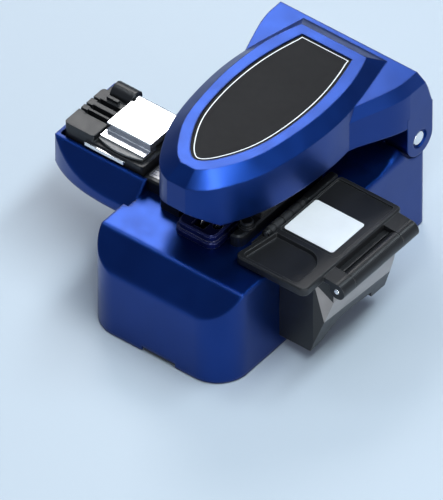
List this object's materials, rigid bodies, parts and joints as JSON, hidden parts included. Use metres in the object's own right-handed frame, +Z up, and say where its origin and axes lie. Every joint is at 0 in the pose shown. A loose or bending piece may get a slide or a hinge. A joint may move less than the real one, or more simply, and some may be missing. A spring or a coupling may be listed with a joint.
{
  "type": "fibre cleaver",
  "caption": "Bench fibre cleaver with a boat-shaped hinged lever, sliding blade carriage, fibre holder on a side wing and a waste box with a lid.",
  "frame": {"origin": "centre of the rubber pad's underside, where the tool stands", "axes": "+X to the waste box side (right), +Y to the lever's hinge (rear), +Z up"},
  "size_m": [0.1077, 0.0992, 0.0642],
  "materials": {
    "blue_paint": "satin blue paint over die-cast metal",
    "dark_cover": "matt dark coating",
    "rubber_black": "fine matt rubber",
    "machined_steel": "fine machined lines",
    "bright_steel": "polished",
    "spring_steel": "drawn wire",
    "black_anodised": "black anodised, satin",
    "grey_aluminium": "brushed grey",
    "nameplate_grey": "dark grey anodised plate with a light border line",
    "blue_anodised": "dark blue anodised with bright edges",
    "black_plastic": "fine grained moulding",
    "grey_plastic": "fine grained moulding",
    "screw_black": "black oxide",
    "hard_metal": "ground hard metal with a polished edge",
    "label_white": "plain white film",
    "brass_bush": "turned"
  },
  "bodies": {
    "base": {"base_body": "blue_paint", "bottom_cover": "dark_cover", "cover_screws": "screw_black", "rubber_pad": "rubber_black", "rail_block": "grey_aluminium", "rail_screws": "screw_black", "guide_rail": "machined_steel", "carriage_spring": "spring_steel", "deck_plate": "black_anodised", "scale_plate": "grey_aluminium", "deck_screws": "black_anodised", "lower_clamp_left": "machined_steel", "lower_clamp_right": "machined_steel", "lower_pads": "rubber_black", "strike_post": "machined_steel", "lever_pin": "bright_steel", "lever_spring": "spring_steel", "holder_base": "black_plastic", "holder_screws": "screw_black", "holder_magnets": "bright_steel", "holder_pin": "bright_steel", "front_strip": "bright_steel"},
    "lever": {"lever_shell": "blue_paint", "nameplate": "nameplate_grey", "lever_underplate": "black_anodised", "underplate_screws": "screw_black", "magnet_stem": "grey_aluminium", "lever_magnet": "bright_steel", "clamp_guides": "machined_steel", "clamp_springs": "spring_steel", "anvil": "machined_steel"},
    "sprung_clamp": {"clamp_yoke": "black_anodised", "upper_pads": "rubber_black"},
    "carriage": {"blade_carriage": "machined_steel", "thumb_block": "blue_anodised", "thumb_screws": "screw_black", "blade_bracket": "machined_steel", "blade_axle": "bright_steel", "blade_hub": "brass_bush", "spring_rod": "machined_steel"},
    "blade": {"blade_wheel": "hard_metal"},
    "fibre_lid": {"holder_lid": "bright_steel", "holder_pad": "rubber_black"},
    "waste_drawer": {"waste_box": "grey_plastic", "mouth_frame": "black_plastic", "roller_axle": "machined_steel", "lid_hinge_pin": "bright_steel"},
    "roller": {"feed_roller": "rubber_black"},
    "waste_cover": {"waste_lid": "black_plastic", "waste_label": "label_white"}
  },
  "joints": [
    {"name": "lever_hinge", "type": "hinge", "parent": "base", "child": "lever", "pos_m": [0, 0.04485, 0.0357], "axis": [-1, 0, 0], "range_deg": [0, 75]},
    {"name": "clamp_slide", "type": "slide", "parent": "lever", "child": "sprung_clamp", "axis": [0, 0, 1], "range_m": [0, 0.0012], "stiffness_N_per_m": 800, "springref_m": -0.001, "deforming": ["clamp_springs"]},
    {"name": "carriage_slide", "type": "slide", "parent": "base", "child": "carriage", "axis": [0, 1, 0], "range_m": [0, 0.02], "stiffness_N_per_m": 40, "springref_m": -0.02, "deforming": ["carriage_spring"]},
    {"name": "blade_turn", "type": "hinge", "parent": "carriage", "child": "blade", "pos_m": [0, -0.01875, 0.0325], "axis": [1, 0, 0], "continuous": true},
    {"name": "fibre_lid_hinge", "type": "hinge", "parent": "base", "child": "fibre_lid", "pos_m": [-0.0363, 0.00095, 0.042], "axis": [-1, 0, 0], "range_deg": [0, 110]},
    {"name": "waste_drawer_slide", "type": "slide", "parent": "base", "child": "waste_drawer", "axis": [1, 0, 0], "range_m": [0, 0.025]},
    {"name": "waste_cover_hinge", "type": "hinge", "parent": "waste_drawer", "child": "waste_cover", "pos_m": [0.0465, -0.0029, 0.032], "axis": [0, 1, 0], "range_deg": [0, 100]},
    {"name": "roller_spin", "type": "hinge", "parent": "waste_drawer", "child": "roller", "pos_m": [0.0165, -0.00625, 0.0348], "axis": [0, 1, 0], "continuous": true}
  ]
}
